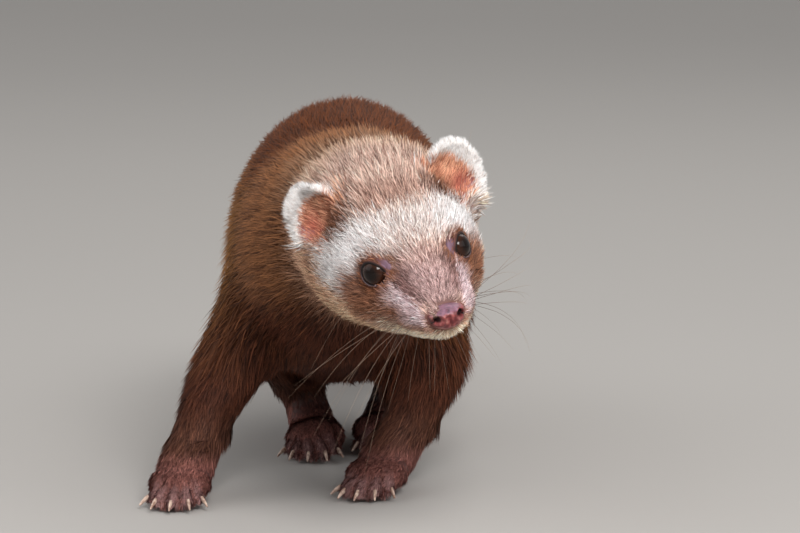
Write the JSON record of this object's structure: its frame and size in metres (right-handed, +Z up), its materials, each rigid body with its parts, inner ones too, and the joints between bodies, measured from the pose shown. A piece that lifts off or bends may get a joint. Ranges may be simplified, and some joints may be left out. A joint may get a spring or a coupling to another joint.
{
  "type": "ferret",
  "caption": "Standing ferret with a long arched body, short legs, rounded ears, a lowered head turned to its left and a furry tail carried behind.",
  "frame": {"origin": "the middle of the model's box in plan, at the level of the soles", "axes": "+Z up, -Y the way the body faces, +X the animal's left side; the nose is at -Y and turned a little towards +X, the tail tip is at +Y"},
  "size_m": [0.1036, 0.4272, 0.1149],
  "materials": {
    "coat_rust": "matte",
    "coat_dark": "matte",
    "coat_face": "matte",
    "coat_ear": "matte",
    "nose_leather": "satin",
    "eye_gloss": "gloss",
    "claw_horn": "satin"
  },
  "bodies": {
    "root": {"abdomen": "coat_rust", "chest": "coat_dark", "claw_fore_left_1": "claw_horn", "claw_fore_left_2": "claw_horn", "claw_fore_left_3": "claw_horn", "claw_fore_left_4": "claw_horn", "claw_fore_left_5": "claw_horn", "claw_fore_right_1": "claw_horn", "claw_fore_right_2": "claw_horn", "claw_fore_right_3": "claw_horn", "claw_fore_right_4": "claw_horn", "claw_fore_right_5": "claw_horn", "claw_hind_left_1": "claw_horn", "claw_hind_left_2": "claw_horn", "claw_hind_left_3": "claw_horn", "claw_hind_left_4": "claw_horn", "claw_hind_left_5": "claw_horn", "claw_hind_right_1": "claw_horn", "claw_hind_right_2": "claw_horn", "claw_hind_right_3": "claw_horn", "claw_hind_right_4": "claw_horn", "claw_hind_right_5": "claw_horn", "ear_left": "coat_ear", "ear_right": "coat_ear", "eye_left": "eye_gloss", "eye_right": "eye_gloss", "foreleg_left_lower": "coat_dark", "foreleg_left_upper": "coat_dark", "foreleg_right_lower": "coat_dark", "foreleg_right_upper": "coat_dark", "forepaw_left": "coat_dark", "forepaw_right": "coat_dark", "head": "coat_face", "hindleg_left": "coat_dark", "hindleg_right": "coat_dark", "hindpaw_left": "coat_dark", "hindpaw_right": "coat_dark", "neck": "coat_rust", "nose": "nose_leather", "tail_base": "coat_rust", "tail_end": "coat_dark", "tail_middle": "coat_dark"}
  },
  "joints": []
}
